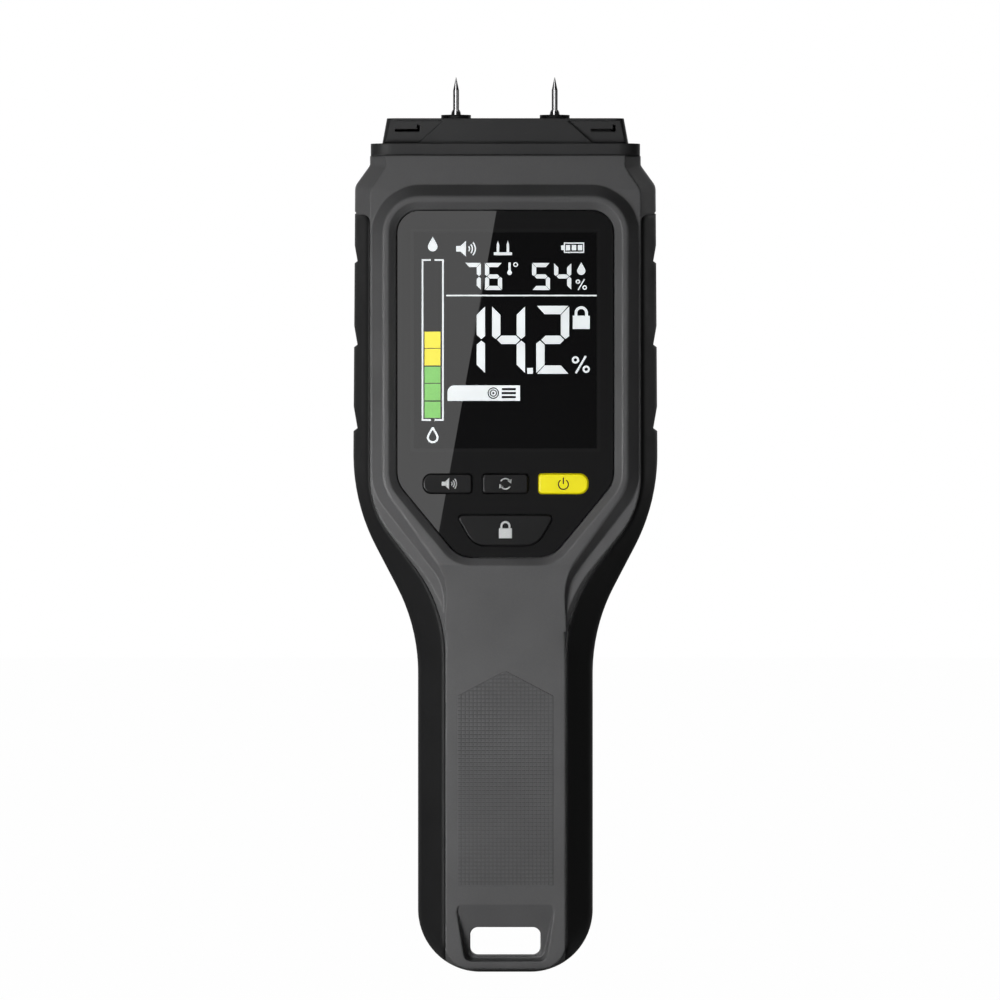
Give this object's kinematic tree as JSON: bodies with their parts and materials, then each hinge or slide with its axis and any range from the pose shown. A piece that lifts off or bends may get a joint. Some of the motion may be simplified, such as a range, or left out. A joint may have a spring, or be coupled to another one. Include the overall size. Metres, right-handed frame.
{
  "type": "moisture meter",
  "caption": "Hand-held moisture meter with a display window, sprung keys, rubber side grips, steel pin probes on the top cap and a battery door in the handle.",
  "frame": {"origin": "centre of the box, at its underside: below the handle's foot", "axes": "+Z from the handle towards the pins, the display faces -Y, +X to the right seen from the front"},
  "size_m": [0.0732, 0.0356, 0.2156],
  "materials": {
    "shell_grey": "fine moulded texture, satin",
    "grip_rubber": "soft overmoulded rubber, matte",
    "cap_black": "moulded, satin",
    "lens_black": "polished display window, tinted black",
    "tape_black": "adhesive foam",
    "lcd_glass": "polished glass",
    "backlight_white": "diffusing light guide",
    "inner_black": "moulded, plain",
    "silicone_grey": "silicone",
    "board_green": "solder mask",
    "chip_black": "moulded epoxy",
    "screw_steel": "zinc plated",
    "key_black": "satin key caps",
    "key_yellow": "satin yellow key cap",
    "dome_steel": "snap domes",
    "pin_steel": "polished stainless steel",
    "socket_brass": "turned",
    "battery_case": "plain battery jacket",
    "foam_grey": "open cell foam",
    "electrode_copper": "etched copper pad",
    "wire_black": "insulated lead"
  },
  "bodies": {
    "housing": {"front_shell": "shell_grey", "rear_shell": "shell_grey", "left_grip": "grip_rubber", "right_grip": "grip_rubber", "sensor_cap": "cap_black", "display_lens": "lens_black", "lens_tape": "tape_black", "lcd_glass": "lcd_glass", "backlight": "backlight_white", "lcd_holder": "inner_black", "contact_strip": "silicone_grey", "main_board": "board_green", "board_components": "chip_black", "board_screws": "screw_steel", "buzzer": "inner_black", "keypad_mat": "silicone_grey", "dome_switches": "dome_steel", "left_pin": "pin_steel", "right_pin": "pin_steel", "pin_sockets": "socket_brass", "pin_collars": "cap_black", "pin_nuts": "pin_steel", "humidity_sensor": "board_green", "battery": "battery_case", "battery_snap": "inner_black", "battery_pad": "foam_grey", "door_insert": "socket_brass", "case_screws": "screw_steel", "scan_pad": "cap_black", "scan_electrode": "electrode_copper", "battery_leads": "wire_black", "pin_leads": "wire_black"},
    "sound_button_body": {"sound_button": "key_black"},
    "mode_button_body": {"mode_button": "key_black"},
    "power_button_body": {"power_button": "key_yellow"},
    "hold_button_body": {"hold_button": "key_black"},
    "door_body": {"battery_door": "shell_grey"},
    "door_screw_body": {"door_screw": "screw_steel"}
  },
  "joints": [
    {"name": "sound_press", "type": "slide", "parent": "housing", "child": "sound_button_body", "axis": [0, 1, 0], "range_m": [0, 0.0008], "stiffness_N_per_m": 2000},
    {"name": "mode_press", "type": "slide", "parent": "housing", "child": "mode_button_body", "axis": [0, 1, 0], "range_m": [0, 0.0008], "stiffness_N_per_m": 2000},
    {"name": "power_press", "type": "slide", "parent": "housing", "child": "power_button_body", "axis": [0, 1, 0], "range_m": [0, 0.0008], "stiffness_N_per_m": 2000},
    {"name": "hold_press", "type": "slide", "parent": "housing", "child": "hold_button_body", "axis": [0, 1, 0], "range_m": [0, 0.0008], "stiffness_N_per_m": 2000},
    {"name": "door_hinge", "type": "hinge", "parent": "housing", "child": "door_body", "pos_m": [0, 0.017, 0.0205], "axis": [-1, 0, 0], "range_deg": [0, 60]},
    {"name": "screw_turn", "type": "hinge", "parent": "door_body", "child": "door_screw_body", "pos_m": [0, 0.017, 0.08], "axis": [0, 1, 0], "continuous": true}
  ]
}
